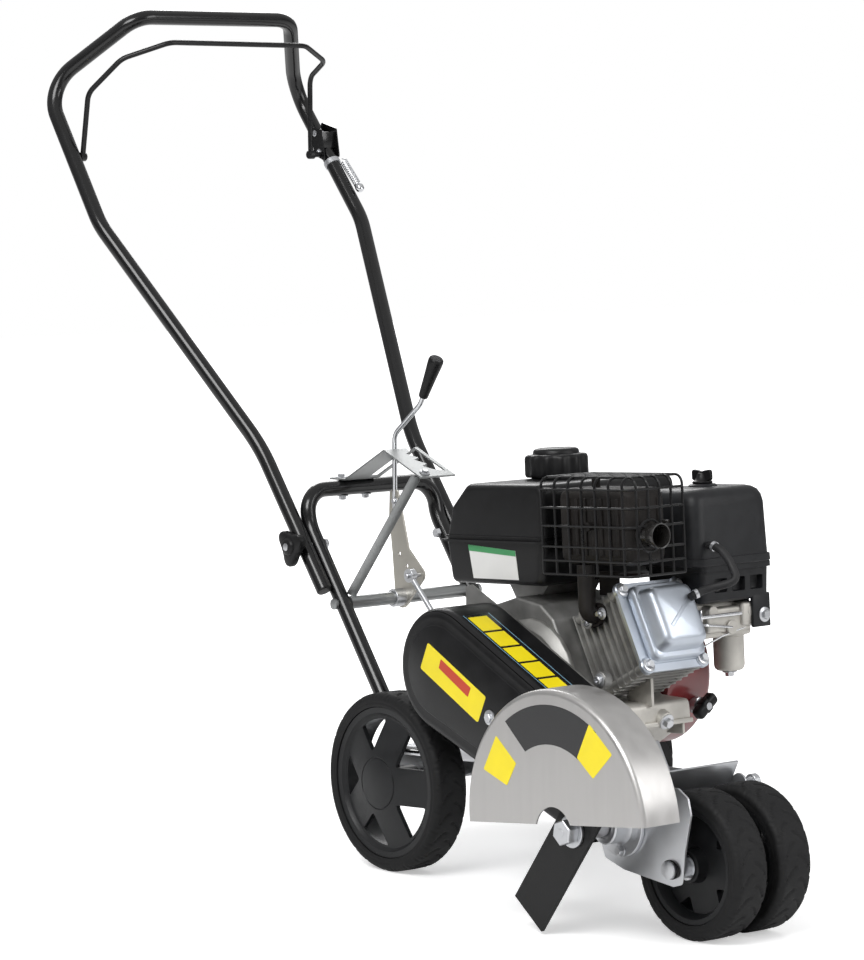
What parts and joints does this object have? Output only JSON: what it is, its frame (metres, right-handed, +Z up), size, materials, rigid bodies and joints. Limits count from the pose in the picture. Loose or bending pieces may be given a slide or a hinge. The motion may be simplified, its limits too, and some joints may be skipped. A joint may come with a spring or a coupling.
{
  "type": "petrol lawn edger",
  "caption": "Walk-behind petrol lawn edger: belt-driven vertical blade under a half-round guard, depth lever, folding tube handle and four wheels.",
  "frame": {"origin": "centre of the bounding box on the ground", "axes": "+X forward, +Y to the machine's left, +Z up"},
  "size_m": [1.4068, 0.583, 1.1478],
  "materials": {
    "black_paint": "gloss black powder coat",
    "zinc": "zinc plated",
    "steel": "plain steel",
    "rubber": "matte rubber",
    "belt_rubber": "matte rubber",
    "grey_plastic": "moulded dark grey",
    "black_plastic": "satin moulded",
    "cast_alloy": "as cast",
    "red_paint": "gloss dark red"
  },
  "bodies": {
    "chassis": {"hoop_frame": "black_paint", "belt_cover": "black_paint", "muffler": "black_paint", "muffler_guard": "black_paint", "exhaust_pipe": "black_paint", "pivot_bolt": "zinc", "cross_tube": "zinc", "gate_plate": "zinc", "gate_brace": "zinc", "spindle_housing": "zinc", "guard_bracket": "zinc", "valve_cover": "zinc", "deck_frame": "zinc", "blade_guard": "zinc", "rear_axle": "steel", "rope_guide": "steel", "drive_belt": "belt_rubber", "breather_hose": "belt_rubber", "fuel_tank": "black_plastic", "air_cleaner_cover": "black_plastic", "air_cleaner_base": "black_plastic", "recoil_cover": "black_plastic", "belt_back_plate": "cast_alloy", "crankcase": "cast_alloy", "crankcase_cover": "cast_alloy", "cylinder": "cast_alloy", "tank_mount": "cast_alloy", "carburettor": "cast_alloy", "blower_housing": "red_paint"},
    "depth_lever": {"depth_lever": "zinc", "lever_grip": "black_plastic"},
    "depth_rod": {"depth_rod": "zinc"},
    "front_carriage": {"carriage_right_plate": "zinc", "carriage_left_plate": "zinc", "front_axle": "zinc"},
    "front_wheel_right": {"front_hub_right": "grey_plastic", "front_tyre_right": "rubber"},
    "front_wheel_left": {"front_hub_left": "grey_plastic", "front_tyre_left": "rubber"},
    "rear_wheel_right": {"rear_hub_right": "grey_plastic", "rear_tyre_right": "rubber"},
    "rear_wheel_left": {"rear_hub_left": "grey_plastic", "rear_tyre_left": "rubber"},
    "blade_rotor": {"blade_spindle": "steel", "blade_pulley": "steel", "blade": "black_paint", "blade_bolt": "steel"},
    "crank_rotor": {"crankshaft": "steel", "engine_pulley": "steel"},
    "handle": {"handle_tube": "black_paint"},
    "clamp_right": {"knob_right": "black_plastic"},
    "clamp_left": {"knob_left": "black_plastic"},
    "bail": {"bail": "black_paint"},
    "fuel_cap": {"fuel_cap": "black_plastic"},
    "cleaner_knob": {"air_cleaner_knob": "black_plastic"},
    "starter_grip": {"starter_grip": "black_plastic"}
  },
  "joints": [
    {"name": "rear_wheel_right_spin", "type": "hinge", "parent": "chassis", "child": "rear_wheel_right", "pos_m": [0.03237, -0.13155, 0.11686], "axis": [0, 1, 0], "continuous": true},
    {"name": "rear_wheel_left_spin", "type": "hinge", "parent": "chassis", "child": "rear_wheel_left", "pos_m": [0.03237, 0.22845, 0.11686], "axis": [0, 1, 0], "continuous": true},
    {"name": "depth_lever_swing", "type": "hinge", "parent": "chassis", "child": "depth_lever", "pos_m": [-0.16963, 0.04045, 0.32736], "axis": [0, 1, 0], "range_deg": [-10, 25]},
    {"name": "depth_rod_swing", "type": "hinge", "parent": "depth_lever", "child": "depth_rod", "pos_m": [-0.12963, 0.02345, 0.36136], "axis": [0, 1, 0], "range_deg": [-25, 10]},
    {"name": "front_carriage_swing", "type": "hinge", "parent": "chassis", "child": "front_carriage", "pos_m": [0.53037, -0.10155, 0.13366], "axis": [0, 1, 0], "range_deg": [-10, 25]},
    {"name": "front_wheel_right_spin", "type": "hinge", "parent": "front_carriage", "child": "front_wheel_right", "pos_m": [0.61387, -0.13155, 0.08886], "axis": [0, 1, 0], "continuous": true},
    {"name": "front_wheel_left_spin", "type": "hinge", "parent": "front_carriage", "child": "front_wheel_left", "pos_m": [0.61387, -0.06155, 0.08886], "axis": [0, 1, 0], "continuous": true},
    {"name": "blade_spin", "type": "hinge", "parent": "chassis", "child": "blade_rotor", "pos_m": [0.53037, -0.20155, 0.13366], "axis": [0, 1, 0], "continuous": true},
    {"name": "crank_spin", "type": "hinge", "parent": "chassis", "child": "crank_rotor", "pos_m": [0.24037, -0.13155, 0.26136], "axis": [0, 1, 0], "continuous": true},
    {"name": "handle_fold", "type": "hinge", "parent": "chassis", "child": "handle", "pos_m": [-0.22513, 0.04845, 0.40436], "axis": [0, -1, 0], "range_deg": [0, 75]},
    {"name": "knob_right_turn", "type": "hinge", "parent": "handle", "child": "clamp_right", "pos_m": [-0.22513, -0.10155, 0.40436], "axis": [0, 1, 0], "continuous": true},
    {"name": "knob_left_turn", "type": "hinge", "parent": "handle", "child": "clamp_left", "pos_m": [-0.22513, 0.19845, 0.40436], "axis": [0, 1, 0], "continuous": true},
    {"name": "bail_swing", "type": "hinge", "parent": "handle", "child": "bail", "pos_m": [-0.63563, 0.04845, 0.93936], "axis": [0, -1, 0], "range_deg": [0, 18], "stiffness_Nm_per_rad": 0.8, "springref_deg": -20.05},
    {"name": "fuel_cap_turn", "type": "hinge", "parent": "chassis", "child": "fuel_cap", "pos_m": [0.15002, 0.04845, 0.51195], "axis": [-0.0488, 0, 0.9988], "continuous": true},
    {"name": "cleaner_knob_turn", "type": "hinge", "parent": "chassis", "child": "cleaner_knob", "pos_m": [0.34689, 0.12345, 0.50916], "axis": [-0.0488, 0, 0.9988], "continuous": true},
    {"name": "starter_pull", "type": "slide", "parent": "chassis", "child": "starter_grip", "axis": [0.9988, 0, 0.0488], "range_m": [0, 0.45], "stiffness_N_per_m": 20, "springref_m": -0.1}
  ],
  "couplings": [
    {"joint": "depth_rod_swing", "follows": "depth_lever_swing", "ratio": -1},
    {"joint": "front_carriage_swing", "follows": "depth_lever_swing", "ratio": 1},
    {"joint": "crank_spin", "follows": "blade_spin", "ratio": 1.0714}
  ]
}
